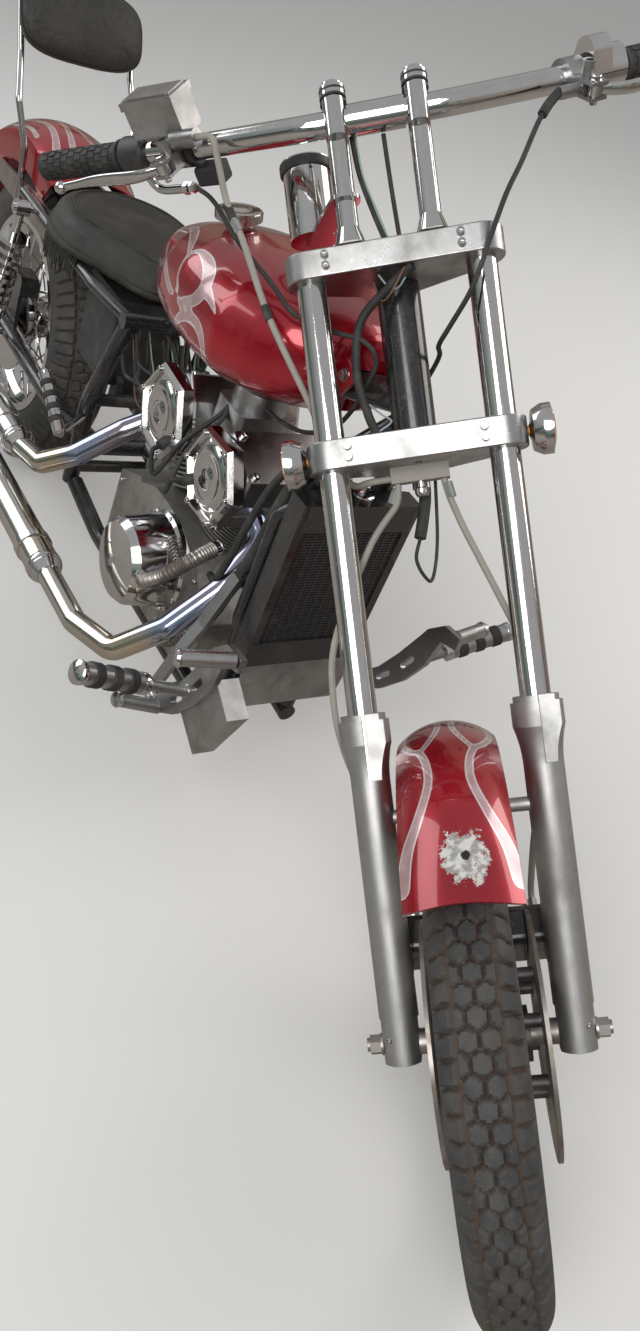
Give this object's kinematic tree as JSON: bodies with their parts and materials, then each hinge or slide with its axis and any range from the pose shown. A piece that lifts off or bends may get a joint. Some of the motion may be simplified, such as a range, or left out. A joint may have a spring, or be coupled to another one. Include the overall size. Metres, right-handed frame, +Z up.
{
  "type": "chopper motorcycle",
  "caption": "Long raked cruiser motorcycle with a teardrop tank, solo seat, laced wheels, long pipes and a tall bar, leaning on its side stand with the fork turned right.",
  "frame": {"origin": "centre of the bounding box at floor level, the machine standing on both tyres and its side stand", "axes": "+X ahead, +Y to the rider's left, +Z up"},
  "size_m": [2.6203, 0.9542, 1.2585],
  "materials": {
    "amber_lens": "clear amber",
    "black_leather": "worn leather",
    "black_paint": "gloss black",
    "black_plastic": "matt",
    "cast_aluminium": "cast, dusty",
    "chrome": "polished chrome, lightly pitted",
    "polished_aluminium": "satin to polished",
    "red_lens": "clear red",
    "red_paint": "candy red gloss with a silver flame pattern",
    "rubber": "matt",
    "steel": "worn steel",
    "tyre": "worn, dusty"
  },
  "bodies": {
    "frame": {"frame_neck": "black_paint", "frame_backbone": "black_paint", "frame_downtubes": "black_paint", "frame_lower_rails": "black_paint", "frame_uprights": "black_paint", "frame_seat_rails": "black_paint", "crankcase": "cast_aluminium", "cylinders": "cast_aluminium", "cylinder_heads": "polished_aluminium", "rocker_boxes": "polished_aluminium", "head_side_covers": "chrome", "clutch_cover": "chrome", "stator_cover": "chrome", "radiator": "black_paint", "belly_plate": "polished_aluminium", "fuel_tank": "red_paint", "filler_cap": "chrome", "seat": "black_leather", "battery_box": "black_plastic", "rear_axle": "steel", "swing_arm": "black_paint", "rear_fender": "red_paint", "fender_struts": "steel", "sissy_bar": "chrome", "final_drive": "cast_aluminium", "rear_shocks": "chrome", "backrest_pad": "black_leather", "tail_lamp": "red_lens", "exhaust_front": "chrome", "exhaust_rear": "chrome", "right_foot_control": "polished_aluminium", "left_foot_control": "polished_aluminium", "passenger_pegs": "chrome", "stand_bracket": "black_paint"},
    "steering": {"front_axle": "steel", "fork_sliders": "polished_aluminium", "fork_tubes": "chrome", "lower_tree": "polished_aluminium", "upper_tree": "polished_aluminium", "risers": "chrome", "handlebar": "chrome", "grips": "rubber", "brake_reservoir": "polished_aluminium", "brake_lever": "chrome", "throttle_housing": "black_plastic", "switch_housing": "chrome", "clutch_perch": "polished_aluminium", "clutch_lever": "chrome", "side_lamps": "amber_lens", "gauge": "chrome", "front_fender": "red_paint", "front_calipers": "black_paint", "brake_hoses": "rubber"},
    "front_wheel": {"front_tyre": "tyre", "front_wheel": "chrome", "front_discs": "steel"},
    "rear_wheel": {"rear_tyre": "tyre", "rear_wheel": "chrome"},
    "side_stand": {"side_stand": "steel"}
  },
  "joints": [
    {"name": "steering", "type": "hinge", "parent": "frame", "child": "steering", "pos_m": [0.44886, -0.0152, 0.77101], "axis": [-0.7344, 0.1179, 0.6684], "range_deg": [0, 84]},
    {"name": "front_wheel_spin", "type": "hinge", "parent": "steering", "child": "front_wheel", "pos_m": [1.01025, -0.13657, 0.30961], "axis": [0.4541, 0.8172, 0.3549], "continuous": true},
    {"name": "rear_wheel_spin", "type": "hinge", "parent": "frame", "child": "rear_wheel", "pos_m": [-0.87443, -0.0954, 0.3162], "axis": [0, 0.9848, -0.1736], "continuous": true},
    {"name": "side_stand_fold", "type": "hinge", "parent": "frame", "child": "side_stand", "pos_m": [-0.02505, 0.0101, 0.1889], "axis": [0.1083, 0.8634, 0.4928], "range_deg": [0, 109.67]}
  ]
}
